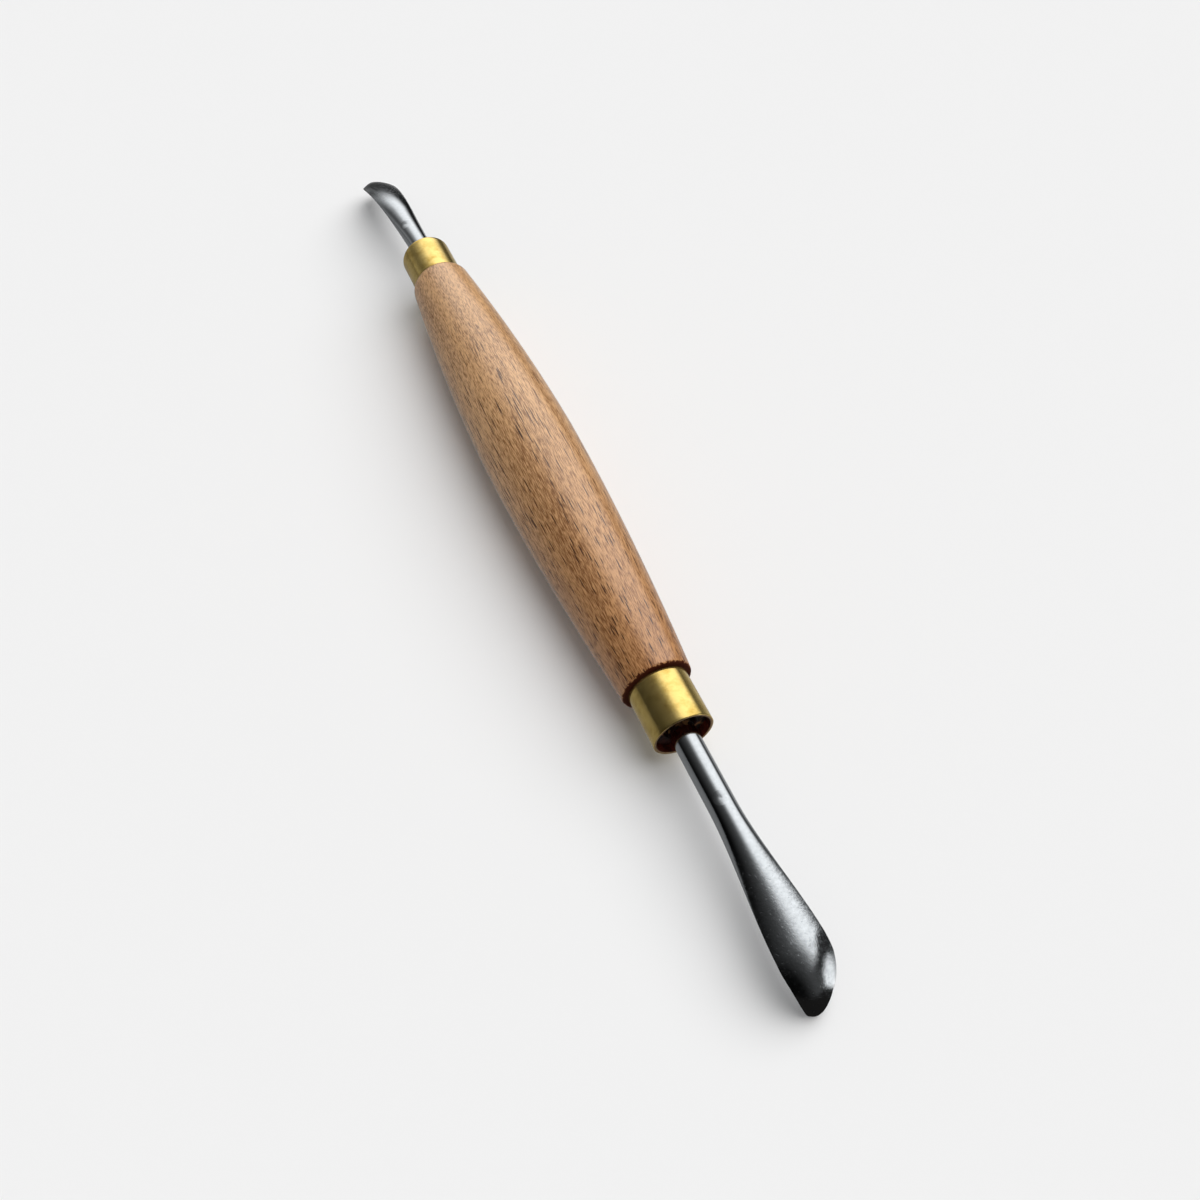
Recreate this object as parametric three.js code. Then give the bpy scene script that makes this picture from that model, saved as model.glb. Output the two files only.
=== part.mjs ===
// Double-ended leather modelling tool, lying on a bench as it comes to rest.
// A turned beech handle carries a forged steel modelling spoon at each end. Each
// tang is bedded in adhesive in a drilled bore, and a brass ferrule pressed over
// the handle's tenon keeps the wood from splitting.
// Millimetres. X runs across the tool, Y along it from the large spoon to the
// small one, and Z up. The origin lies under the middle of the tool's box.

import * as THREE from "three";

// Handle
const handleLength = 104.6; // from shoulder to shoulder
const bellyRadius = 8.8;
const bellyFromLargeShoulder = 54.65; // the belly sits a little nearer the small spoon
const largeShoulderRadius = 5.9;
const smallShoulderRadius = 5.8;
const largeShoulderEase = 0.45; // sanded round corner, worn more at the small end
const smallShoulderEase = 1.2;
const barrelFullness = 1.75; // 1 is a cone, 2 a parabola

// Ferrules, cut from one brass tube
const ferruleRadius = 5;
const ferruleWall = 0.5;
const ferruleLength = 9.2;
const ferruleEase = 0.12;
const ferruleFit = 0.08; // between the tube and the tenon in it
const ferruleSeatGap = 0.12; // the tube stops short of the shoulder by this
const tenonRecess = 1.3; // the end grain lies this deep inside the rim
const tenonEase = 0.3;

// Steel rod that both spoons are forged from
const rodRadius = 2.17;
const tangEase = 0.6;

// Drilled bores and the adhesive in them
const boreClearance = 0.55; // round the tang
const boreBottomGap = 1.5; // past the tang's end
const adhesiveFilm = 0.1; // free space on both sides of the adhesive
const adhesiveBelowMouth = 1.8;
const adhesiveShortOfTip = 3;

// Large spoon, measured from the ferrule's rim along its own line
const largeReach = 46.33;
const largeTangDepth = 44; // in the wood
const largeForgeStart = 12.2; // the rod is round up to here
const largeWidestAt = 37.1;
const largeHalfWidth = 4.04;
const largeNoseShape = 1.27; // 2 is an ellipse, less is more pointed
const largeBack = 1.21; // height of the rounded back at the widest place
const largeFront = 0.5; // depth of the rim on the hollow side
const largeHollow = 0.7;
const largeNoseEase = 5.2;
const largeDrift = 0.25; // its widest place is forged this far to the right of the rod
const largeBendStart = 34.8;
const largeBendRadius = 6.95;
const largeBendSkew = 13.2; // degrees, so that its right side curls first
const largeRoll = 3.8; // degrees, its back leaning to the left

// Small spoon, measured the same way
const smallReach = 41.5;
const smallTangDepth = 20;
const smallForgeStart = 0.6;
const smallWidestAt = 32;
const smallHalfWidth = 3.34;
const smallNoseShape = 1.95;
const smallBack = 1.01;
const smallFront = 0.5;
const smallHollow = 0.5;
const smallNoseEase = 1.4;
const smallDrift = 0.9; // to the left
const smallBendStart = 16.7;
const smallBendRadius = 37.4;
const smallBendSkew = 7.4;

// Facets
const turnedSides = 40;
const barrelSteps = 26;
const shoulderSteps = 3;
const spoonSides = 24;
const spoonStep = 1.2; // between the sections of a forged blade
const noseSections = 8;
const tiltHalvings = 40; // of the range in which the resting tilt is sought

// What the sizes above give
const ferruleBore = ferruleRadius - ferruleWall;
const tenonRadius = ferruleBore - ferruleFit;
const tenonLength = ferruleSeatGap + ferruleLength - tenonRecess;
const boreRadius = rodRadius + boreClearance;
const shoulderToRim = ferruleSeatGap + ferruleLength;

const beech = new THREE.MeshStandardMaterial({ color: 0xb98a66, roughness: 0.6, metalness: 0 });
const brass = new THREE.MeshStandardMaterial({ color: 0xc9a63c, roughness: 0.3, metalness: 1 });
const steel = new THREE.MeshStandardMaterial({ color: 0x9a9c9e, roughness: 0.25, metalness: 1 });
const adhesive = new THREE.MeshStandardMaterial({ color: 0x2c211a, roughness: 0.7, metalness: 0 });

const point = (radius, y) => new THREE.Vector2(radius, y);

// A flat of the turned sides faces straight down, so the barrel lies still.
function turned(profile) {
  return new THREE.LatheGeometry(profile, turnedSides, Math.PI / turnedSides, 2 * Math.PI);
}

function named(name, geometry, material) {
  const mesh = new THREE.Mesh(geometry, material.clone());
  mesh.name = name;
  return mesh;
}

// Handle: barrel, shoulders, tenons and the two blind bores, as one profile that
// starts and ends on the axis.
function barrelRadius(fromLargeShoulder) {
  const toSmall = fromLargeShoulder > bellyFromLargeShoulder;
  const span = toSmall ? handleLength - bellyFromLargeShoulder : bellyFromLargeShoulder;
  const shoulder = toSmall ? smallShoulderRadius : largeShoulderRadius;
  const share = Math.abs(fromLargeShoulder - bellyFromLargeShoulder) / span;
  return bellyRadius - (bellyRadius - shoulder) * share ** barrelFullness;
}

// From the flat of a shoulder, round its corner and up to the barrel.
function shoulderCorner(radius, ease, end) {
  const inward = -Math.sign(end);
  const corner = [];
  for (let i = 0; i < shoulderSteps; i++) {
    const turn = ((Math.PI / 2) * i) / shoulderSteps;
    const up = ease * (1 - Math.sin(turn));
    corner.push(point(radius - up, end + inward * ease * (1 - Math.cos(turn))));
  }
  return corner;
}

function handleProfile() {
  const half = handleLength / 2;
  const barrelStart = largeShoulderEase;
  const barrelEnd = handleLength - smallShoulderEase;
  const tenonEnd = half + tenonLength;
  const largeBoreEnd = tenonEnd - largeTangDepth - boreBottomGap;
  const smallBoreEnd = tenonEnd - smallTangDepth - boreBottomGap;
  const profile = [
    point(0, -largeBoreEnd),
    point(boreRadius, -largeBoreEnd),
    point(boreRadius, -tenonEnd),
    point(tenonRadius - tenonEase, -tenonEnd),
    point(tenonRadius, -tenonEnd + tenonEase),
    point(tenonRadius, -half),
    ...shoulderCorner(barrelRadius(barrelStart), largeShoulderEase, -half),
  ];
  for (let i = 0; i <= barrelSteps; i++) {
    const along = THREE.MathUtils.lerp(barrelStart, barrelEnd, i / barrelSteps);
    profile.push(point(barrelRadius(along), along - half));
  }
  profile.push(
    ...shoulderCorner(barrelRadius(barrelEnd), smallShoulderEase, half).reverse(),
    point(tenonRadius, half),
    point(tenonRadius, tenonEnd - tenonEase),
    point(tenonRadius - tenonEase, tenonEnd),
    point(boreRadius, tenonEnd),
    point(boreRadius, smallBoreEnd),
    point(0, smallBoreEnd),
  );
  return profile;
}

// What follows is made for one end of the tool, with its ferrule's rim at y = 0
// and the spoon pointing along +Y.
function ferrule() {
  return turned([
    point(ferruleBore, -ferruleLength),
    point(ferruleRadius - ferruleEase, -ferruleLength),
    point(ferruleRadius, -ferruleLength + ferruleEase),
    point(ferruleRadius, -ferruleEase),
    point(ferruleRadius - ferruleEase, 0),
    point(ferruleBore, 0),
    point(ferruleBore, -ferruleLength),
  ]);
}

function adhesiveBed(tangDepth) {
  const inner = rodRadius + adhesiveFilm;
  const outer = boreRadius - adhesiveFilm;
  const top = -tenonRecess - adhesiveBelowMouth;
  const bottom = -tenonRecess - tangDepth + adhesiveShortOfTip;
  return turned([
    point(inner, bottom),
    point(outer, bottom),
    point(outer, top),
    point(inner, top),
    point(inner, bottom),
  ]);
}

// Sections along a spoon: the tang's eased end, the round rod in one step, the
// forged blade in even steps and the nose in steps that close up to the tip.
function spoonStations(s) {
  const tangEnd = -tenonRecess - s.tangDepth;
  const noseStart = s.reach - s.noseEase;
  const stations = [tangEnd, tangEnd + tangEase, 0];
  const blade = Math.ceil((noseStart - s.forgeStart) / spoonStep);
  for (let i = 0; i < blade; i++) {
    stations.push(s.forgeStart + ((noseStart - s.forgeStart) * i) / blade);
  }
  for (let i = 0; i < noseSections; i++) {
    stations.push(noseStart + s.noseEase * Math.sin((Math.PI / 2) * (i / noseSections)));
  }
  return stations;
}

function halfWidth(s, along) {
  if (along <= s.widestAt) {
    const spread = THREE.MathUtils.smoothstep(along, s.forgeStart, s.widestAt);
    return THREE.MathUtils.lerp(rodRadius, s.halfWidth, spread);
  }
  const past = (along - s.widestAt) / (s.reach - s.widestAt);
  return s.halfWidth * Math.sqrt(Math.max(0, 1 - past ** s.noseShape));
}

// The rod is spread and hollowed: above, a back that falls away to two thin edges
// like a lens, and below it a face that is dished between them.
function forged(s, along, across, up) {
  const worked = THREE.MathUtils.smoothstep(along, s.forgeStart, s.widestAt);
  const intoNose = Math.max(0, along - (s.reach - s.noseEase)) / s.noseEase;
  const thin = Math.sqrt(Math.max(0, 1 - intoNose ** 2));
  const back = THREE.MathUtils.lerp(rodRadius, s.back, worked) * thin;
  const front = THREE.MathUtils.lerp(rodRadius, s.front, worked) * thin;
  const x = halfWidth(s, along) * across + s.drift * worked;
  const lens = THREE.MathUtils.lerp(up, up ** 2, worked);
  const z = up > 0 ? back * lens : front * up + s.hollow * worked * thin * up ** 2;
  return new THREE.Vector3(x, along, z);
}

// Past the bend line the blade follows an arc that curls down. The line crosses
// the blade on a skew, so that one side starts to curl before the other.
function bent(s, p) {
  const skew = THREE.MathUtils.degToRad(s.bendSkew);
  const beyond = p.y - s.bendStart;
  const past = p.x * Math.sin(skew) + beyond * Math.cos(skew);
  if (past <= 0) return p;
  const beside = p.x * Math.cos(skew) - beyond * Math.sin(skew);
  const angle = past / s.bendRadius;
  const radius = s.bendRadius + p.z;
  const curled = radius * Math.sin(angle);
  return new THREE.Vector3(
    curled * Math.sin(skew) + beside * Math.cos(skew),
    s.bendStart + curled * Math.cos(skew) - beside * Math.sin(skew),
    radius * Math.cos(angle) - s.bendRadius,
  );
}

function spoon(s) {
  const tangEnd = -tenonRecess - s.tangDepth;
  const profile = [point(0, tangEnd)];
  for (const along of spoonStations(s)) profile.push(point(1, along));
  profile.push(point(0, s.reach));
  const geometry = new THREE.LatheGeometry(profile, spoonSides);
  const place = geometry.getAttribute("position");
  for (let i = 0; i < place.count; i++) {
    const along = place.getY(i);
    const eased = along === place.getY(0) ? 1 - tangEase / rodRadius : 1;
    const p = forged(s, along, place.getX(i) * eased, place.getZ(i) * eased);
    place.setXYZ(i, ...bent(s, p).toArray());
  }
  return geometry;
}

// The large end is turned about, so its right side is its own -X.
const largeSpoon = {
  reach: largeReach,
  tangDepth: largeTangDepth,
  forgeStart: largeForgeStart,
  widestAt: largeWidestAt,
  halfWidth: largeHalfWidth,
  noseShape: largeNoseShape,
  back: largeBack,
  front: largeFront,
  hollow: largeHollow,
  noseEase: largeNoseEase,
  drift: -largeDrift,
  bendStart: largeBendStart,
  bendRadius: largeBendRadius,
  bendSkew: -largeBendSkew,
};

const smallSpoon = {
  reach: smallReach,
  tangDepth: smallTangDepth,
  forgeStart: smallForgeStart,
  widestAt: smallWidestAt,
  halfWidth: smallHalfWidth,
  noseShape: smallNoseShape,
  back: smallBack,
  front: smallFront,
  hollow: smallHollow,
  noseEase: smallNoseEase,
  drift: -smallDrift,
  bendStart: smallBendStart,
  bendRadius: smallBendRadius,
  bendSkew: smallBendSkew,
};

// One end of the tool: ferrule, adhesive and spoon, the spoon turned about its rod
// by the given degrees.
function toolEnd(name, sizes, rollDegrees) {
  const end = new THREE.Group();
  const blade = named(`${name}_spoon`, spoon(sizes), steel);
  blade.rotation.y = THREE.MathUtils.degToRad(rollDegrees);
  end.add(
    named(`${name}_ferrule`, ferrule(), brass),
    named(`${name}_adhesive_bed`, adhesiveBed(sizes.tangDepth), adhesive),
    blade,
  );
  return end;
}

const tool = new THREE.Group();
const handle = named("handle", turned(handleProfile()), beech);
const largeEnd = toolEnd("large", largeSpoon, largeRoll);
const smallEnd = toolEnd("small", smallSpoon, 0); // set upright
largeEnd.position.y = -(handleLength / 2 + shoulderToRim);
largeEnd.rotation.z = Math.PI;
smallEnd.position.y = handleLength / 2 + shoulderToRim;
tool.add(handle, largeEnd, smallEnd);

// The tool rests on the barrel and on the large spoon's tip: it is tipped until
// both are equally low.
function lowestPoint(object) {
  return new THREE.Box3().setFromObject(object, true).min.z;
}

function restingTilt() {
  let low = 0;
  let high = Math.atan(bellyRadius / (handleLength / 2));
  for (let i = 0; i < tiltHalvings; i++) {
    tool.rotation.x = (low + high) / 2;
    tool.updateMatrixWorld(true);
    if (lowestPoint(largeEnd) > lowestPoint(handle)) low = tool.rotation.x;
    else high = tool.rotation.x;
  }
  return (low + high) / 2;
}

tool.rotation.x = restingTilt();
tool.updateMatrixWorld(true);
const box = new THREE.Box3().setFromObject(tool, true);
tool.position.set(-(box.min.x + box.max.x) / 2, -(box.min.y + box.max.y) / 2, -box.min.z);

const modelingTool = new THREE.Group();
modelingTool.name = "leather_modeling_tool";
modelingTool.add(tool);

export default modelingTool;
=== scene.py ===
"""Looks of a double-ended leather modelling tool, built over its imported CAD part.

Run as a script in Blender 4.5. Every piece is modelled in the tool's own frame,
with +Y along the turned axis from the large spoon to the small one, and is then
laid on the bench where the CAD solids lie.
"""

import math

import bmesh
import bpy
from bpy.props import (
    FloatProperty,
    FloatVectorProperty,
    IntProperty,
    PointerProperty,
)
from mathutils import Matrix, Vector, noise


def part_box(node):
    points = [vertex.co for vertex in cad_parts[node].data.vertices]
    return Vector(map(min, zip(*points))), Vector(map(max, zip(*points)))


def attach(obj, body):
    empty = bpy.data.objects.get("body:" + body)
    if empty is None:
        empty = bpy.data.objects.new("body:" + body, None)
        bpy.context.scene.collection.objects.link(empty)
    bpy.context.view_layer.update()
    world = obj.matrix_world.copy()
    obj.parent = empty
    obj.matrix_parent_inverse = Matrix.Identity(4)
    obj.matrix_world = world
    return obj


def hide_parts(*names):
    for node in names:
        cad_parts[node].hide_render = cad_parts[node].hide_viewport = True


bl_info = {
    "name": "Leather Modelling Tool",
    "version": (1, 0, 0),
    "blender": (4, 5, 0),
    "location": "View3D > Sidebar > Modelling Tool",
    "description": "Handle, ferrules and spoons of a double-ended leather modelling tool",
    "category": "Add Mesh",
}

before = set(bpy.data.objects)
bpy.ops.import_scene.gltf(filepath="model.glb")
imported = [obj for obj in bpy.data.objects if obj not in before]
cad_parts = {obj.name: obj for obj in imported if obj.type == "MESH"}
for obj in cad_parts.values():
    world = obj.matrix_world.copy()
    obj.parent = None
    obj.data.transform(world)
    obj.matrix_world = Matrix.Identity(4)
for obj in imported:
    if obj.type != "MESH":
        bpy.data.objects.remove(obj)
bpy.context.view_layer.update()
MM = 0.001

# Chips along the sawn ends of the tenons
CHIP_DEPTH = 0.12 * MM
CHIP_SIZE = 0.8 * MM
# Waves of the faint hammer marks, across, along and across the tool
HAMMER_MARKS = (3.1, 4.3, 3.1)
# A hammer nick on each shank, in mm from the barrel's middle: its place and its reach
NICKS = ((-0.3, -73.9, 2.15), (-1.1, 71.9, 1.8))
NICK_REACH = (0.1, 1.2)

# Where the lamp hangs, and the photograph's viewpoint in mm and degrees
LAMP_TOWARDS = (0.48, 0.02, 0.875)
VIEWPOINT = (-46.33, -135.4, 156.84)
VIEW_TURNS = (37.0886, -0.1267, -23.2715)

# The room that reflections show. Turns run from 0 behind the tool through 0.25 on its
# left, 0.5 ahead and 0.75 on its right. Heights are sines of the angle above the bench.
# Levels follow the reflections in the photographed metal.
ROOM_RADIUS = 12
TO_THE_RIGHT = (0.883, 0.469, 0)
WINDOW_ACROSS = (
    (0, 0),
    (0.12, 0.03),
    (0.17, 0.09),
    (0.25, 0.22),
    (0.3, 0.32),
    (0.37, 0.55),
    (0.45, 0.78),
    (0.58, 0.93),
    (0.75, 1),
    (1, 0.9),
)
SILL = ((0.59, 0.08), (0.6, 0.02), (0.697, 0), (0.7045, 0.34), (0.733, 0.6), (0.85, 0.66))
WINDOW_TOP = ((0.59, 0.43), (0.6, 0.42), (0.697, 0.42), (0.7045, 0.6), (0.756, 0.8), (0.85, 0.8))
BRIGHT_BOARD = ((0.806, 0), (0.82, 1), (0.868, 1), (0.886, 0))
GREY_BOARD = ((0.35, 0), (0.38, 1), (0.45, 1), (0.47, 0))

# Glowing sheets that reflections show in place of the bench top: painted reflections of the bench,
# with the tool's shadows painted in. The grey of the widest one from 100 mm left of the tool's
# middle to 100 mm right of it, darker on the left where its painted shadow lies, and outlines in
# mm.
BENCH_REFLECTION_GREYS = (
    (0, 0.14),
    (0.3, 0.22),
    (0.4, 0.25),
    (0.49, 0.25),
    (0.52, 0.45),
    (0.6, 0.45),
    (0.65, 0.26),
    (0.8, 0.13),
    (1, 0.1),
)
ALL_ROUND = ((-9e3, -99), (5, -99), (7e3, -3070), (9e3, 9e3), (-9e3, 9e3))
# Beside and before the large spoon's nose: a painted highlight and a painted shadow.
BESIDE_NOSE = ((5, -100.5), (7e3, -7870), (7e3, -3070))
BEFORE_NOSE = ((-9e3, -101.5), (5, -101.5), (7e3, -7870), (-9e3, -7870))


# Values


def linear(code):
    """The linear colour of an sRGB hex value."""
    channels = [int(code[i : i + 2], 16) / 255 for i in (0, 2, 4)]
    return [c / 12.92 if c <= 0.04045 else ((c + 0.055) / 1.055) ** 2.4 for c in channels]


def length(name, description, value):
    """A length property, with its default in millimetres."""
    return FloatProperty(
        name=name, description=description, default=value * MM, unit="LENGTH", precision=5
    )


def share(name, description, value):
    """A plain number."""
    return FloatProperty(name=name, description=description, default=value, precision=3)


def angle(name, description, degrees):
    """An angle property, with its default in degrees."""
    return FloatProperty(
        name=name, description=description, default=math.radians(degrees), subtype="ANGLE"
    )


def colour(name, description, code):
    """A colour property, with its default as an sRGB hex value."""
    return FloatVectorProperty(
        name=name, description=description, default=linear(code), subtype="COLOR", min=0, max=1
    )


class HandleSettings(bpy.types.PropertyGroup):
    """Sizes and colours of the turned beech handle."""

    barrel: length("Barrel length", "From shoulder to shoulder", 104.6)
    belly: length("Belly radius", "Thickest part of the barrel", 8.765)
    belly_at: length("Belly from large shoulder", "Where the barrel is thickest", 54.65)
    large_shoulder: length("Large shoulder radius", "Barrel's end at the large spoon", 5.88)
    small_shoulder: length("Small shoulder radius", "Barrel's end at the small spoon", 5.78)
    fullness: share("Fullness", "1 is a cone and 2 a parabola", 1.75)
    tenon: length("Tenon radius", "Under the ferrule", 4.4)
    tenon_length: length("Tenon length", "From the shoulder to the end grain", 8.02)
    bore: length("Bore radius", "Drilled for the tang", 2.7)
    large_bore: length("Large bore depth", "From the end grain", 45.5)
    small_bore: length("Small bore depth", "From the end grain", 21.5)
    large_corner: length("Large shoulder corner", "Sanded round", 0.45)
    small_corner: length("Small shoulder corner", "Sanded round and worn", 1.2)
    corner: length("Other corners", "Broken corners of the tenons and bores", 0.15)
    pale: colour("Pale wood", "Between the grain lines", "DCAC79")
    dark: colour("Dark wood", "Along the grain lines", "8A5E35")
    fleck: colour("Ray flecks", "Short dark dashes along the grain", "452510")
    # Tint darkening the barrel from its middle to the large shoulder.
    near_half_tint: colour("Handled wood", "Tint of the wood next to the large spoon", "DCCBBB")
    # Also the painted shade on the large shoulder's flat face.
    stain_and_shade: colour("Stain", "Adhesive soaked into the wood", "3A1208")
    end_grain: colour("End grain", "Soaked with adhesive", "1C100B")


class FerruleSettings(bpy.types.PropertyGroup):
    """Sizes and colours of the two brass ferrules."""

    radius: length("Radius", "Outside of the tube", 4.98)
    bore: length("Bore radius", "Inside of the tube", 4.5)
    tube: length("Length", "Of each tube", 9.2)
    seat: length("Seat gap", "Between the tube and the shoulder", 0.12)
    corner: length("Broken corner", "Radius of the filed rims", 0.12)
    brass: colour("Brass", "Clean metal", "E6C97A")
    tarnish: colour("Tarnish", "Handled metal", "A88520")
    # Darker than the sawn metal alone: painted shade from the shadowed bench the rim reflects.
    cut: colour("Cut rim", "Dull sawn and filed metal", "A08560")
    coating: colour("Bore coating", "Adhesive smeared inside the tube", "5C2112")


class LargeSpoonSettings(bpy.types.PropertyGroup):
    """Sizes of the large spoon, along its own line from the ferrule's rim."""

    reach: length("Reach", "To the tip", 46.3)
    tang: length("Tang depth", "In the wood", 44)
    forge_start: length("Forging starts", "The rod is round up to here", 12.2)
    widest_at: length("Widest at", "Where the blade is widest", 37.1)
    half_width: length("Half width", "At the widest place", 4.04)
    nose_shape: share("Nose shape", "2 is an ellipse, less is more pointed", 1.27)
    back: length("Back", "Height of the rounded back", 1.2)
    front: length("Front", "Depth of the rim on the hollow side", 0.5)
    hollow: length("Hollow", "Dish between the rims", 0.7)
    nose_ease: length("Nose ease", "Thinning towards the tip", 5.2)
    drift: length("Drift", "How far the forging wanders sideways", -0.25)
    flank: share("Flat flank", "How blunt the right edge is before the widest place", 0.5)
    bend_start: length("Bend starts", "Where the blade starts to curl", 34.8)
    bend_radius: length("Bend radius", "Of the curl", 6.95)
    bend_skew: angle("Bend skew", "Between the bend line and square across", -13.2)
    roll: angle("Roll", "Lean about the tool's axis", 3.8)


class SmallSpoonSettings(bpy.types.PropertyGroup):
    """Sizes of the small spoon, along its own line from the ferrule's rim."""

    reach: length("Reach", "To the tip", 41.47)
    tang: length("Tang depth", "In the wood", 20)
    forge_start: length("Forging starts", "The rod is round up to here", 0.6)
    widest_at: length("Widest at", "Where the blade is widest", 32)
    half_width: length("Half width", "At the widest place", 3.34)
    nose_shape: share("Nose shape", "2 is an ellipse, less is more pointed", 1.95)
    back: length("Back", "Height of the rounded back", 1.01)
    front: length("Front", "Depth of the rim on the hollow side", 0.5)
    hollow: length("Hollow", "Dish between the rims", 0.5)
    nose_ease: length("Nose ease", "Thinning towards the tip", 1.4)
    drift: length("Drift", "How far the forging wanders sideways", -0.9)
    flank: share("Flat flank", "How blunt the right edge is before the widest place", 0)
    bend_start: length("Bend starts", "Where the blade starts to curl", 16.7)
    bend_radius: length("Bend radius", "Of the curl", 37.4)
    bend_skew: angle("Bend skew", "Between the bend line and square across", 7.4)
    roll: angle("Roll", "Lean about the tool's axis", 0)


class SteelSettings(bpy.types.PropertyGroup):
    """The rod that both spoons are forged from, and its finish."""

    rod: length("Rod radius", "Of the round shank and tang", 2.17)
    tang_corner: length("Tang corner", "At the buried end", 0.6)
    relief: length("Hammer relief", "Depth of the faint hammer marks", 0.02)
    skin_from: length("Skin from", "Distance from the barrel's middle to the unpolished blade", 80)
    polished: colour("Polished steel", "The shank", "C6CACD")
    worked: colour("Worked steel", "The forged and ground blade", "A9ADB0")


class StageSettings(bpy.types.PropertyGroup):
    """Floor, light and camera."""

    floor: colour("Floor", "Pale bench top", "F1F1F1")
    fill: share("Fill light", "Level of the light from all round", 0.32)
    key: share("Key light", "Strength of the broad lamp", 2.69)
    key_spread: angle("Key spread", "Apparent size of the broad lamp", 74)
    window: share("Window", "Brightness of the tall window in reflections", 1.72)
    lens: share("Focal length", "Millimetres on a 36 mm sensor", 34.35)
    sides: IntProperty(name="Turned sides", description="Steps round a turned piece", default=128)


# Where the tool lies


def middle(node):
    """Centre of a CAD node's box."""
    low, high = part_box(node)
    return (low + high) / 2


def tool_place():
    """The tool's own frame, with its origin in the middle of the barrel, in the row frame."""
    large = middle("large_ferrule")
    small = middle("small_ferrule")
    run = small - large
    tilt = math.atan2(run.z, run.y)
    return Matrix.Translation((large + small) / 2) @ Matrix.Rotation(tilt, 4, "X")


def end_place(settings, ferrule, large):
    """Frame of one end: origin at the middle of the ferrule's rim and +Y out along the spoon."""
    rim = settings.barrel / 2 + ferrule.seat + ferrule.tube
    if large:
        return Matrix.Translation((0, -rim, 0)) @ Matrix.Rotation(math.pi, 4, "Z")
    return Matrix.Translation((0, rim, 0))


# Shaping


def turned(points, steps, closed=False):
    """Spins a profile of (radius, along) points round the Y axis."""
    bm = bmesh.new()
    verts = [bm.verts.new((radius, along, 0)) for radius, along in points]
    pairs = list(zip(verts, verts[1:]))
    if closed:
        pairs.append((verts[-1], verts[0]))
    edges = [bm.edges.new(pair) for pair in pairs]
    bmesh.ops.spin(
        bm,
        geom=verts + edges,
        cent=(0, 0, 0),
        axis=(0, 1, 0),
        angle=2 * math.pi,
        steps=steps,
        use_merge=True,
    )
    bmesh.ops.remove_doubles(bm, verts=bm.verts, dist=1e-8)
    bmesh.ops.recalc_face_normals(bm, faces=bm.faces)
    return bm


def ease_corners(bm, radius, segments=3, low=-math.inf, high=math.inf, outside=0):
    """Rounds the corners sharper than 40 degrees between two places along the axis."""
    corners = [
        e
        for e in bm.edges
        if e.is_manifold
        and e.calc_face_angle() > math.radians(40)
        and low < e.verts[0].co.y < high
        and math.hypot(e.verts[0].co.x, e.verts[0].co.z) > outside
    ]
    bmesh.ops.bevel(
        bm,
        geom=corners,
        offset=radius,
        offset_type="OFFSET",
        segments=segments,
        profile=0.5,
        affect="EDGES",
        material=-1,
        clamp_overlap=True,
    )


def finished(bm, name, place, materials, node):
    """Lays a shaped piece in its place and lets it stand for its CAD node."""
    bm.transform(place)
    if bm.calc_volume(signed=True) < 0:
        bmesh.ops.reverse_faces(bm, faces=bm.faces)
    for face in bm.faces:
        face.smooth = True
    mesh = bpy.data.meshes.new(name)
    bm.to_mesh(mesh)
    bm.free()
    for material in materials:
        mesh.materials.append(material)
    piece = bpy.data.objects.new(name, mesh)
    bpy.context.scene.collection.objects.link(piece)
    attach(piece, "root")
    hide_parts(node)
    return piece


def smooth(low, high, value):
    """Eased step from 0 to 1."""
    x = min(1, max(0, (value - low) / (high - low)))
    return x * x * (3 - 2 * x)


def barrel_radius(s, along):
    """Radius of the barrel at a distance from the large shoulder."""
    to_small = along > s.belly_at
    span = s.barrel - s.belly_at if to_small else s.belly_at
    shoulder = s.small_shoulder if to_small else s.large_shoulder
    return s.belly - (s.belly - shoulder) * (abs(along - s.belly_at) / span) ** s.fullness


def handle_profile(s):
    """Barrel, shoulders, tenons and blind bores, from axis to axis."""
    half = s.barrel / 2
    end = half + s.tenon_length
    steps = 72
    face = 5
    points = [(0, s.large_bore - end)]
    points += [(s.bore, s.large_bore - end)]
    points += [(s.bore + (s.tenon - s.bore) * i / face, -end) for i in range(face + 1)]
    points += [(s.tenon, -half)]
    points += [
        (barrel_radius(s, s.barrel * i / steps), s.barrel * i / steps - half)
        for i in range(steps + 1)
    ]
    points += [(s.tenon, half)]
    points += [(s.tenon + (s.bore - s.tenon) * i / face, end) for i in range(face + 1)]
    points += [(s.bore, end - s.small_bore), (0, end - s.small_bore)]
    return points


def blade_half_width(s, steel, along):
    """Half the width of a spoon at a distance along it."""
    if along <= s.widest_at:
        spread = smooth(s.forge_start, s.widest_at, along)
        return steel.rod + (s.half_width - steel.rod) * spread
    past = (along - s.widest_at) / (s.reach - s.widest_at)
    return s.half_width * math.sqrt(max(0, 1 - past**s.nose_shape))


def forged(s, steel, along, across, up):
    """Spreads and hollows the rod: a lens-shaped back above, a dished face below."""
    worked = smooth(s.forge_start, s.widest_at, along)
    into_nose = max(0, along - (s.reach - s.nose_ease)) / s.nose_ease
    thin = math.sqrt(max(0, 1 - into_nose**2))
    back = (steel.rod + (s.back - steel.rod) * worked) * thin
    front = (steel.rod + (s.front - steel.rod) * worked) * thin
    x = blade_half_width(s, steel, along) * across + s.drift * worked
    if up > 1e-6:
        z = back * (up + (up * up - up) * worked)
        if across < 0:
            start = smooth(s.forge_start, s.forge_start + 5 * MM, along)
            flank = s.flank * start * (1 - smooth(0.7 * s.widest_at, s.widest_at, along))
            z += flank * (back * (1 - 0.5 * across**2) - z)
            x -= flank * 0.12 * steel.rod * across
    else:
        z = front * up + s.hollow * worked * thin * up**2
    return Vector((x, along, z))


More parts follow.
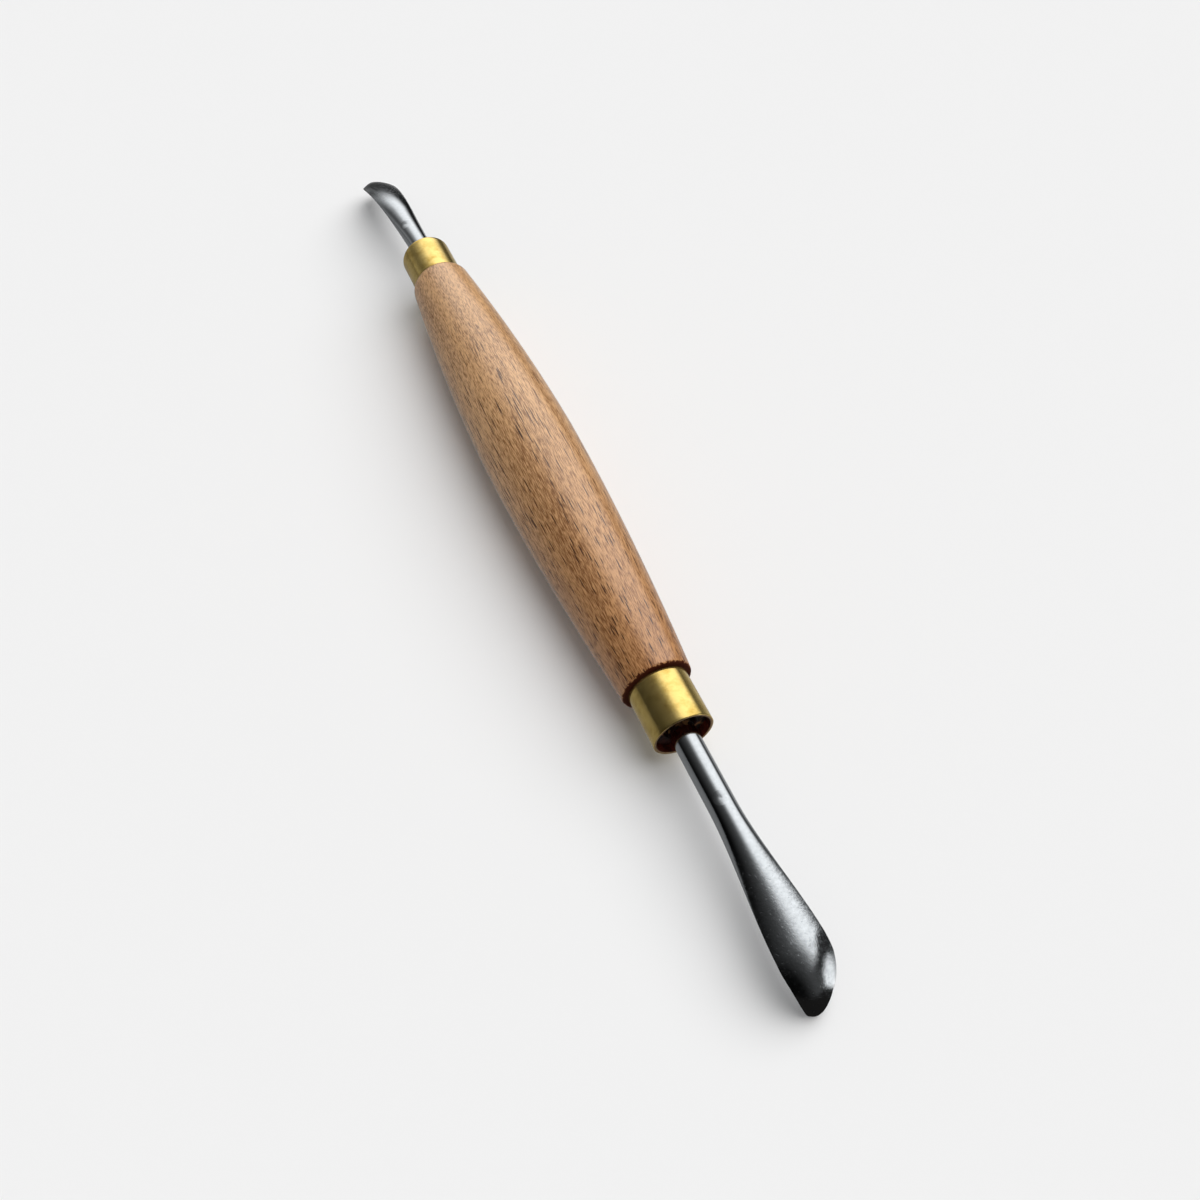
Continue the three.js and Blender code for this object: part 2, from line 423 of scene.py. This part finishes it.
def bent(s, p):
    """Curls what lies past the skewed bend line down along an arc."""
    across, along = math.sin(s.bend_skew), math.cos(s.bend_skew)
    beyond = p.y - s.bend_start
    past = p.x * across + beyond * along
    if past <= 0:
        return p
    beside = p.x * along - beyond * across
    turn = past / s.bend_radius
    radius = s.bend_radius + p.z
    curled = radius * math.sin(turn)
    return Vector(
        (
            curled * across + beside * along,
            s.bend_start + curled * along - beside * across,
            radius * math.cos(turn) - s.bend_radius,
        )
    )


def spoon_stations(s, steel, ferrule_recess):
    """Distances along a spoon at which it has a section."""
    tang_end = -ferrule_recess - s.tang
    nose = s.reach - s.nose_ease
    stations = [tang_end, tang_end + steel.tang_corner, 0]
    shank = 8
    stations += [s.forge_start * i / shank for i in range(1, shank)]
    blade = 96
    stations += [s.forge_start + (nose - s.forge_start) * i / blade for i in range(blade)]
    ending = 16
    stations += [
        nose + s.nose_ease * math.sin(math.pi / 2 * i / ending) for i in range(ending)
    ]
    return stations


def spoon_mesh(s, steel, recess, sides):
    """A spoon along +Y from the rim of its ferrule, tang included."""
    stations = spoon_stations(s, steel, recess)
    profile = [(0, stations[0])] + [(1, along) for along in stations] + [(0, s.reach)]
    bm = turned([(radius * MM, along) for radius, along in profile], sides)
    for v in bm.verts:
        across = v.co.x / MM
        up = v.co.z / MM
        along = v.co.y
        if along == stations[0]:
            shrink = 1 - steel.tang_corner / steel.rod
            across *= shrink
            up *= shrink
        p = forged(s, steel, along, across, up)
        worked = smooth(s.forge_start, s.forge_start + 4 * MM, along)
        waves = (place / (size * MM) for place, size in zip(p, HAMMER_MARKS))
        marks = noise.noise(Vector(waves))
        p.z += steel.relief * worked * marks * (1 - abs(across)) * (up > 0)
        v.co = bent(s, p)
    return bm


# Materials


def add_node(tree, kind, inputs=None, **options):
    """Adds a shader node, sets its options and sets or links its inputs."""
    node = tree.nodes.new(kind)
    for name, value in options.items():
        setattr(node, name, value)
    for name, value in (inputs or {}).items():
        if isinstance(value, bpy.types.NodeSocket):
            tree.links.new(value, node.inputs[name])
        else:
            node.inputs[name].default_value = value
    return node


def new_material(name):
    """An empty node material and its tree."""
    material = bpy.data.materials.new(name)
    material.use_nodes = True
    material.node_tree.nodes.clear()
    return material, material.node_tree


def surface(tree, inputs):
    """Ends a material in a principled surface."""
    shader = add_node(tree, "ShaderNodeBsdfPrincipled", inputs)
    add_node(tree, "ShaderNodeOutputMaterial", {"Surface": shader.outputs["BSDF"]})


def rgba(value):
    """A colour property as a socket value."""
    return (*value, 1)


def along_tool(tree, size=(1, 1, 1)):
    """Place in the tool's own frame, +Y along its axis, in units of so many mm."""
    place = tool_place()
    coordinates = add_node(tree, "ShaderNodeTexCoord")
    inputs = {
        "Vector": coordinates.outputs["Object"],
        "Location": place.translation,
        "Rotation": place.to_euler(),
        "Scale": [mm * MM for mm in size],
    }
    return add_node(tree, "ShaderNodeMapping", inputs, vector_type="TEXTURE").outputs["Vector"]


def speckle(tree, size, detail=2, roughness=0.5, distortion=0):
    """Noise with features of a size in mm across, along and across the tool."""
    inputs = {
        "Vector": along_tool(tree, size),
        "Scale": 1,
        "Detail": detail,
        "Roughness": roughness,
        "Distortion": distortion,
    }
    return add_node(tree, "ShaderNodeTexNoise", inputs).outputs["Fac"]


def fade(tree, value, start, end, low=0, high=1, kind="LINEAR"):
    """Maps a value between start and end to one between low and high."""
    inputs = {
        "Value": value,
        "From Min": start,
        "From Max": end,
        "To Min": low,
        "To Max": high,
    }
    return add_node(tree, "ShaderNodeMapRange", inputs, interpolation_type=kind).outputs["Result"]


def sum_up(tree, operation, first, second, third=0):
    """One step of arithmetic."""
    return add_node(
        tree, "ShaderNodeMath", {0: first, 1: second, 2: third}, operation=operation
    ).outputs["Value"]


def blend(tree, factor, first, second, kind="MIX"):
    """Mixes two colours."""
    node = add_node(
        tree,
        "ShaderNodeMix",
        {"Factor": factor, 6: first, 7: second},
        data_type="RGBA",
        blend_type=kind,
    )
    return node.outputs[2]


def ramp(tree, factor, stops):
    """A value that follows straight lines between (position, value) stops."""
    node = add_node(tree, "ShaderNodeValToRGB", {"Fac": factor})
    elements = node.color_ramp.elements
    while len(elements) < len(stops):
        elements.new(0.5)
    for element, (position, value) in zip(elements, stops):
        element.position = position
        element.color = (value, value, value, 1)
    return node.outputs["Color"]


def raised(tree, height, distance, strength=1):
    """A bump of so many mm."""
    inputs = {"Height": height, "Distance": distance * MM, "Strength": strength}
    return add_node(tree, "ShaderNodeBump", inputs).outputs["Normal"]


def distance_along(tree):
    """Distance along the tool from the barrel's middle, in mm."""
    return add_node(tree, "ShaderNodeSeparateXYZ", {0: along_tool(tree)}).outputs["Y"]


def beech(s):
    """Turned and oiled beech: tan under a satin sheen, with fine fibres and ray flecks."""
    material, tree = new_material("turned_beech")
    # Growth lines a few millimetres apart, drawn out along the handle.
    growth = speckle(tree, (2.6, 45, 2.6), 2, 0.5, 0.4)
    # Fibres, drawn coarser than real ones so that they show.
    fibres = speckle(tree, (0.15, 1.8, 0.15), 3, 0.6)
    # Rays cut by the turned surface: dashes of a few millimetres, a sixth of one wide.
    rays = add_node(
        tree, "ShaderNodeTexVoronoi", {"Vector": along_tool(tree, (0.38, 12, 0.38)), "Scale": 1}
    ).outputs["Distance"]
    tone = sum_up(
        tree,
        "ADD",
        fade(tree, growth, 0.35, 0.68, 0.2, 0.62),
        fade(tree, fibres, 0.36, 0.64, -0.6, 0.6),
    )
    tone = fade(tree, tone, 0, 1)
    wood = blend(tree, tone, rgba(s.pale), rgba(s.dark))
    along = distance_along(tree)
    # Few of them show towards the small spoon.
    dash = fade(tree, rays, 0.27, 0.19)
    dash = sum_up(tree, "MULTIPLY", dash, fade(tree, along, 12, 40, 1, 0.15))
    wood = blend(tree, dash, wood, rgba(s.fleck))
    shoulder = s.barrel / 2 / MM
    # The barrel darkens from its middle towards the large shoulder.
    near = fade(tree, along, 5, -shoulder)
    wood = blend(tree, near, wood, rgba(s.near_half_tint), "MULTIPLY")
    # The rounded edge of the large shoulder is darkened unevenly and its flat face all over:
    # partly adhesive stain, partly painted shade at the step down to the ferrule.
    edge = sum_up(tree, "MULTIPLY_ADD", speckle(tree, (0.5, 0.8, 0.5), 4, 0.65), 1.7, along)
    ragged = fade(tree, edge, 1.12 - shoulder, 1 - shoulder, 0, 0.97)
    face = fade(tree, along, 0.14 - shoulder, 0.06 - shoulder, 0, 0.97)
    soaked = sum_up(tree, "MAXIMUM", ragged, face)
    wood = blend(tree, soaked, wood, rgba(s.stain_and_shade))
    height = sum_up(tree, "MULTIPLY_ADD", dash, -0.7, fibres)
    inputs = {
        "Base Color": wood,
        "Roughness": fade(tree, soaked, 0, 0.5, 0.45, 0.8),
        "IOR": 1.5,
        "Coat Weight": fade(tree, soaked, 0, 0.5, 1, 0),
        "Coat Roughness": 0.23,
        "Coat IOR": 1.7,
        "Specular IOR Level": 0.05,
        "Normal": raised(tree, height, 0.08, 0.8),
    }
    surface(tree, inputs)
    return material


def stained_end_grain(s):
    """Sawn beech end grain soaked with adhesive: dark, uneven and dull."""
    material, tree = new_material("stained_end_grain")
    blotch = speckle(tree, (1.5, 1.5, 1.5), 4, 0.6)
    wood = blend(tree, fade(tree, blotch, 0.45, 0.66), rgba(s.end_grain), rgba(s.stain_and_shade))
    bare = fade(tree, speckle(tree, (2.3, 2.3, 2.3), 2, 0.5, 0.3), 0.54, 0.62, 0, 0.7)
    wood = blend(tree, bare, wood, rgba(s.dark))
    inputs = {
        "Base Color": wood,
        "Roughness": 0.65,
        "Specular IOR Level": 0.15,
        "Normal": raised(tree, blotch, 0.3, 0.8),
    }
    surface(tree, inputs)
    return material


def drawn_brass(s):
    """Drawn brass tube, handled bright under a thin, mottled tarnish."""
    material, tree = new_material("drawn_brass")
    cloud = speckle(tree, (2.2, 2.2, 2.2), 5, 0.6)
    metal = blend(tree, fade(tree, cloud, 0.46, 0.72, 0, 0.6), rgba(s.brass), rgba(s.tarnish))
    grime = speckle(tree, (0.6, 0.6, 0.6), 3, 0.6)
    inputs = {
        "Base Color": metal,
        "Metallic": 0.92,
        "Specular IOR Level": 0,
        "Roughness": fade(tree, cloud, 0.35, 0.7, 0.1, 0.2),
        "Normal": raised(tree, grime, 0.02, 0.5),
    }
    surface(tree, inputs)
    return material


def cut_and_shaded_brass(s):
    """The tube's sawn and filed rim, dull and dirty, its colour darkened further by painted shade.
    """
    material, tree = new_material("cut_shaded_brass_rim")
    dirt = speckle(tree, (0.5, 0.5, 0.5), 4, 0.65)
    metal = blend(tree, fade(tree, dirt, 0.42, 0.68, 0, 0.5), rgba(s.cut), rgba(s.coating))
    inputs = {
        "Base Color": metal,
        "Metallic": 0.85,
        "Roughness": 0.45,
        "Normal": raised(tree, dirt, 0.03, 0.6),
    }
    surface(tree, inputs)
    return material


def coated_shaded_bore(s):
    """The inside of the tube, smeared with dark reddish adhesive and darkened further with painted
    shade in the recess.
    """
    material, tree = new_material("coated_shaded_brass_bore")
    smear = speckle(tree, (0.9, 0.9, 0.9), 3, 0.6)
    # A third of the coating's colour: painted shade inside the tube.
    dark = rgba([c * 0.3 for c in s.coating])
    inputs = {
        "Base Color": blend(tree, fade(tree, smear, 0.4, 0.65), dark, rgba(s.coating)),
        "Roughness": 0.4,
        "Specular IOR Level": 0.2,
        "Normal": raised(tree, smear, 0.08, 0.7),
    }
    surface(tree, inputs)
    return material


def hand_worked_steel(s):
    """Polished steel shank that turns into a ground blade with a mottled, pitted skin."""
    material, tree = new_material("hand_worked_steel")
    along = distance_along(tree)
    # Past the shank the polish gives way to the skin of the forging.
    skin = fade(tree, sum_up(tree, "ABSOLUTE", along, 0), s.skin_from / MM, s.skin_from / MM + 6)
    mottle = speckle(tree, (0.6, 0.6, 0.6), 5, 0.65)
    pits = fade(tree, speckle(tree, (0.45, 0.45, 0.45), 2, 0.5), 0.66, 0.72)
    metal = blend(tree, mottle, rgba(s.polished), rgba(s.worked))
    rough = sum_up(
        tree, "MULTIPLY_ADD", skin, fade(tree, mottle, 0.35, 0.7, 0.04, 0.18), 0.1
    )
    height = sum_up(tree, "MULTIPLY_ADD", pits, -0.5, mottle)
    height = sum_up(tree, "MULTIPLY", height, fade(tree, skin, 0, 1, 0.12, 1))
    for nick in NICKS:
        away = add_node(
            tree, "ShaderNodeVectorMath", {0: along_tool(tree), 1: nick}, operation="DISTANCE"
        ).outputs["Value"]
        height = sum_up(tree, "ADD", height, fade(tree, away, *NICK_REACH, -4, 0))
    inputs = {
        "Base Color": metal,
        "Metallic": 1,
        "Roughness": rough,
        "Normal": raised(tree, height, 0.03, 0.8),
    }
    surface(tree, inputs)
    return material


def set_adhesive():
    """Set bedding compound: dull, dark brown and slightly grainy."""
    material, tree = new_material("set_adhesive")
    grain = speckle(tree, (0.6, 0.6, 0.6), 3)
    inputs = {
        "Base Color": blend(tree, grain, rgba(linear("1C130D")), rgba(linear("3A2A1E"))),
        "Roughness": 0.6,
    }
    surface(tree, inputs)
    return material


# Operators


class TOOL_OT_handle(bpy.types.Operator):
    """Turns the beech handle"""

    bl_idname = "modelling_tool.handle"
    bl_label = "Turn the handle"

    def execute(self, context):
        s = context.scene.tool_handle
        bm = turned(handle_profile(s), context.scene.tool_stage.sides)
        half = s.barrel / 2
        ease_corners(bm, s.large_corner, 6, -half - MM, -half + MM, s.tenon + 0.1 * MM)
        ease_corners(bm, s.small_corner, 8, half - MM, half + MM, s.tenon + 0.1 * MM)
        ease_corners(bm, s.corner)
        for v in bm.verts:
            if abs(v.co.y) > half + s.tenon_length - 0.4 * MM:
                chips = noise.noise(v.co / CHIP_SIZE)
                v.co.y -= math.copysign(CHIP_DEPTH * (1 + chips), v.co.y)
        for face in bm.faces:
            centre = face.calc_center_median()
            inside = math.hypot(centre.x, centre.z) < s.bore + 0.1 * MM
            sawn = abs(centre.y) > half + s.tenon_length - 0.5 * MM
            face.material_index = 1 if inside or sawn else 0
        looks = [beech(s), stained_end_grain(s)]
        finished(bm, "beech_handle", tool_place(), looks, "handle")
        return {"FINISHED"}


class TOOL_OT_ferrules(bpy.types.Operator):
    """Cuts both ferrules from brass tube"""

    bl_idname = "modelling_tool.ferrules"
    bl_label = "Cut the ferrules"

    def execute(self, context):
        s = context.scene.tool_ferrule
        handle = context.scene.tool_handle
        looks = [drawn_brass(s), cut_and_shaded_brass(s), coated_shaded_bore(s)]
        # Rings close to the rims keep the shine on the plain tube straight.
        rings = (0.06, 0.5, 0.94)
        profile = [(s.bore, -s.tube), (s.radius, -s.tube)]
        profile += [(s.radius, -s.tube * (1 - ring)) for ring in rings]
        profile += [(s.radius, 0), (s.bore, 0)]
        profile += [(s.bore, -s.tube * ring) for ring in rings]
        for name in ("large", "small"):
            bm = turned(profile, context.scene.tool_stage.sides, closed=True)
            ease_corners(bm, s.corner)
            for face in bm.faces:
                centre = face.calc_center_median()
                out = math.hypot(centre.x, centre.z)
                if out < s.radius - s.corner:
                    face.material_index = 2 if out < s.bore + 0.01 * MM else 1
            place = tool_place() @ end_place(handle, s, name == "large")
            node = f"{name}_ferrule"
            finished(bm, f"{name}_brass_ferrule", place, looks, node)
        return {"FINISHED"}


class TOOL_OT_spoons(bpy.types.Operator):
    """Forges both modelling spoons"""

    bl_idname = "modelling_tool.spoons"
    bl_label = "Forge the spoons"

    def execute(self, context):
        scene = context.scene
        steel = scene.tool_steel
        look = hand_worked_steel(steel)
        recess = scene.tool_ferrule.tube + scene.tool_ferrule.seat - scene.tool_handle.tenon_length
        for name, s in (("large", scene.tool_large_spoon), ("small", scene.tool_small_spoon)):
            bm = spoon_mesh(s, steel, recess, 96)
            end = end_place(scene.tool_handle, scene.tool_ferrule, name == "large")
            place = tool_place() @ end @ Matrix.Rotation(s.roll, 4, "Y")
            finished(bm, f"{name}_steel_spoon", place, [look], f"{name}_spoon")
        return {"FINISHED"}


class TOOL_OT_adhesive(bpy.types.Operator):
    """Gives the hidden adhesive beds their finish"""

    bl_idname = "modelling_tool.adhesive"
    bl_label = "Finish the adhesive"

    def execute(self, context):
        look = set_adhesive()
        for name in ("large_adhesive_bed", "small_adhesive_bed"):
            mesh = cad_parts[name].data
            mesh.materials.clear()
            mesh.materials.append(look)
        return {"FINISHED"}


class TOOL_OT_stage(bpy.types.Operator):
    """Sets up the floor, the light and the camera"""

    bl_idname = "modelling_tool.stage"
    bl_label = "Set the stage"

    def execute(self, context):
        s = context.scene.tool_stage
        lay_floor(s)
        pitch_tent(s)
        lay_painted_bench_reflections()
        hang_lamp(s)
        light_world(s)
        place_camera(s)
        context.scene.view_settings.view_transform = "Standard"
        return {"FINISHED"}


def staged(bm, name, material, everywhere):
    """Puts a piece of the studio on the stage; what isn't everywhere is only reflected."""
    mesh = bpy.data.meshes.new(name)
    bm.to_mesh(mesh)
    bm.free()
    mesh.materials.append(material)
    piece = bpy.data.objects.new(name, mesh)
    bpy.context.scene.collection.objects.link(piece)
    piece.visible_camera = everywhere
    piece.visible_diffuse = everywhere
    piece.visible_transmission = everywhere
    piece.visible_volume_scatter = everywhere
    piece.visible_shadow = everywhere


def lay_floor(s):
    """A wide, plain, pale bench top."""
    bm = bmesh.new()
    bmesh.ops.create_grid(bm, x_segments=1, y_segments=1, size=12)
    material, tree = new_material("pale_bench_top")
    surface(tree, {"Base Color": rgba(s.floor), "Roughness": 1, "Specular IOR Level": 0})
    staged(bm, "bench_top", material, True)


def glowing(name, colour_source, strength):
    """A material that shines by itself."""
    material, tree = new_material(name)
    light = add_node(tree, "ShaderNodeEmission", {"Color": colour_source, "Strength": strength})
    add_node(tree, "ShaderNodeOutputMaterial", {"Surface": light.outputs["Emission"]})
    return material


def pitch_tent(s):
    """The room that reflections show in place of the pale surround.

    It has a tall window on the right, above a sill, and dark walls.
    """
    bm = bmesh.new()
    bmesh.ops.create_uvsphere(bm, u_segments=64, v_segments=32, radius=ROOM_RADIUS)
    bmesh.ops.bisect_plane(
        bm,
        geom=list(bm.verts) + list(bm.edges) + list(bm.faces),
        plane_co=(0, 0, 0.0005),
        plane_no=(0, 0, 1),
        clear_inner=True,
    )
    bmesh.ops.reverse_faces(bm, faces=bm.faces)
    material, tree = new_material("room")
    place = add_node(tree, "ShaderNodeTexCoord").outputs["Object"]
    direction = add_node(
        tree, "ShaderNodeVectorMath", {0: place}, operation="NORMALIZE"
    ).outputs["Vector"]
    parts = add_node(tree, "ShaderNodeSeparateXYZ", {0: direction}).outputs
    side = add_node(
        tree, "ShaderNodeVectorMath", {0: direction, 1: TO_THE_RIGHT}, operation="DOT_PRODUCT"
    ).outputs["Value"]
    # The window brightens from its near edge inwards.
    across = ramp(tree, fade(tree, side, -0.2, 1), WINDOW_ACROSS)
    # Its sill and its top stand at another height in each direction.
    heading = sum_up(tree, "ARCTAN2", parts["X"], parts["Y"])
    turn = fade(tree, heading, -math.pi, math.pi)
    sill = ramp(tree, turn, SILL)
    top = ramp(tree, turn, WINDOW_TOP)
    over_sill = sum_up(tree, "SUBTRACT", parts["Z"], sill)
    rise = sum_up(tree, "SUBTRACT", top, sill)
    above = fade(tree, sum_up(tree, "DIVIDE", over_sill, rise), 0, 1, kind="SMOOTHSTEP")
    window = sum_up(tree, "MULTIPLY", across, above)
    # A board shines on the right, a little behind.
    board = ramp(tree, turn, BRIGHT_BOARD)
    board = sum_up(tree, "MULTIPLY", board, fade(tree, parts["Z"], 0.22, 0.36, 0.85, 0))
    window = sum_up(tree, "MAXIMUM", window, board)
    wall = sum_up(
        tree,
        "MULTIPLY",
        fade(tree, side, -0.64, -0.1, 0.003, 0.1),
        fade(tree, side, -0.1, 0.3, 1, 0.25),
    )
    # Ahead on the left a low grey board stands before the dark wall.
    screen = ramp(tree, turn, GREY_BOARD)
    screen = sum_up(tree, "MULTIPLY", screen, fade(tree, parts["Z"], 0.02, 0.38, 0.33, 0.02))
    wall = sum_up(tree, "MAXIMUM", wall, screen)
    strength = sum_up(tree, "MULTIPLY_ADD", window, s.window, wall)
    light = add_node(tree, "ShaderNodeEmission", {"Strength": strength})
    add_node(tree, "ShaderNodeOutputMaterial", {"Surface": light.outputs["Emission"]})
    staged(bm, "room", material, False)


def lay_painted_bench_reflections():
    """Glowing sheets round the tool that reflections show in place of the bench top: painted
    reflections of the bench, with painted shadows and a painted highlight.
    """
    material, tree = new_material("painted_bench_reflection")
    place = add_node(tree, "ShaderNodeTexCoord").outputs["Object"]
    parts = add_node(tree, "ShaderNodeSeparateXYZ", {0: place}).outputs
    grey = ramp(tree, fade(tree, parts["X"], -100 * MM, 100 * MM), BENCH_REFLECTION_GREYS)
    # Beyond the small spoon it is dark on the right: the small spoon's painted shadow.
    ahead = fade(tree, parts["Y"], 103 * MM, 125 * MM)
    right = fade(tree, parts["X"], -8 * MM, -2 * MM)
    shade = sum_up(tree, "MULTIPLY", ahead, right)
    grey = sum_up(tree, "MULTIPLY", grey, fade(tree, shade, 0, 1, 1, 0.08))
    light = add_node(tree, "ShaderNodeEmission", {"Strength": grey})
    add_node(tree, "ShaderNodeOutputMaterial", {"Surface": light.outputs["Emission"]})
    # A sheet glowing brighter than the bench, beside the large spoon's nose: a painted highlight,
    # seen only in reflections.
    bright = glowing("painted_nose_highlight", (1, 1, 1, 1), 1.55)
    # A near-black sheet before the large spoon's nose: painted shadow of the bench there, seen
    # only in reflections.
    dark = glowing("painted_nose_shadow", (1, 0.95, 0.9, 1), 0.015)
    pieces = {
        "bench_reflection_all_round": (material, 0.2, ALL_ROUND),
        "highlight_beside_nose": (bright, 0.25, BESIDE_NOSE),
        "shadow_before_nose": (dark, 0.2, BEFORE_NOSE),
    }
    for name, (look, level, outline) in pieces.items():
        bm = bmesh.new()
        bm.faces.new([bm.verts.new((x * MM, y * MM, level * MM)) for x, y in outline])
        bmesh.ops.recalc_face_normals(bm, faces=bm.faces)
        staged(bm, name, look, False)


def hang_lamp(s):
    """A broad soft lamp, high on the right."""
    lamp = bpy.data.lights.new("broad_lamp", "SUN")
    lamp.energy = s.key
    lamp.angle = s.key_spread
    holder = bpy.data.objects.new("broad_lamp", lamp)
    towards = Vector(LAMP_TOWARDS)
    holder.rotation_euler = towards.to_track_quat("Z", "Y").to_euler()
    holder.visible_glossy = False
    bpy.context.scene.collection.objects.link(holder)


def light_world(s):
    """Even fill light, and a plain pale surround.

    The room hides the surround from reflections; without it they show it too.
    """
    world = bpy.data.worlds.new("pale_surround")
    bpy.context.scene.world = world
    world.use_nodes = True
    tree = world.node_tree
    tree.nodes.clear()
    rays = add_node(tree, "ShaderNodeLightPath").outputs
    seen = sum_up(tree, "MAXIMUM", rays["Is Camera Ray"], rays["Is Glossy Ray"])
    seen = sum_up(tree, "MAXIMUM", seen, rays["Is Transmission Ray"])
    fill = add_node(tree, "ShaderNodeBackground", {"Strength": s.fill})
    pale = add_node(tree, "ShaderNodeBackground", {"Color": rgba(s.floor)})
    surround = add_node(
        tree,
        "ShaderNodeMixShader",
        {0: seen, 1: fill.outputs["Background"], 2: pale.outputs["Background"]},
    )
    add_node(tree, "ShaderNodeOutputWorld", {"Surface": surround.outputs["Shader"]})


def place_camera(s):
    """The photograph's viewpoint: above the large spoon's left side, looking down the tool."""
    camera = bpy.data.cameras.new("viewpoint")
    camera.lens = s.lens
    camera.sensor_width = 36
    camera.clip_start = 0.01
    holder = bpy.data.objects.new("viewpoint", camera)
    holder.location = [place * MM for place in VIEWPOINT]
    holder.rotation_euler = [math.radians(turn) for turn in VIEW_TURNS]
    bpy.context.scene.collection.objects.link(holder)
    bpy.context.scene.camera = holder


class TOOL_PT_panel(bpy.types.Panel):
    """Lists the tool's pieces and the stage"""

    bl_label = "Modelling Tool"
    bl_idname = "TOOL_PT_panel"
    bl_space_type = "VIEW_3D"
    bl_region_type = "UI"
    bl_category = "Modelling Tool"

    def draw(self, context):
        for operator in OPERATORS:
            self.layout.operator(operator.bl_idname)


SETTINGS = {
    "tool_handle": HandleSettings,
    "tool_ferrule": FerruleSettings,
    "tool_large_spoon": LargeSpoonSettings,
    "tool_small_spoon": SmallSpoonSettings,
    "tool_steel": SteelSettings,
    "tool_stage": StageSettings,
}
OPERATORS = (
    TOOL_OT_handle,
    TOOL_OT_ferrules,
    TOOL_OT_spoons,
    TOOL_OT_adhesive,
    TOOL_OT_stage,
)


def register():
    for name, group in SETTINGS.items():
        bpy.utils.register_class(group)
        setattr(bpy.types.Scene, name, PointerProperty(type=group))
    for cls in (*OPERATORS, TOOL_PT_panel):
        bpy.utils.register_class(cls)


def unregister():
    for cls in (TOOL_PT_panel, *reversed(OPERATORS)):
        bpy.utils.unregister_class(cls)
    for name, group in reversed(SETTINGS.items()):
        delattr(bpy.types.Scene, name)
        bpy.utils.unregister_class(group)


def main():
    register()
    bpy.ops.modelling_tool.handle()
    bpy.ops.modelling_tool.ferrules()
    bpy.ops.modelling_tool.spoons()
    bpy.ops.modelling_tool.adhesive()
    bpy.ops.modelling_tool.stage()


if __name__ == "__main__":
    main()
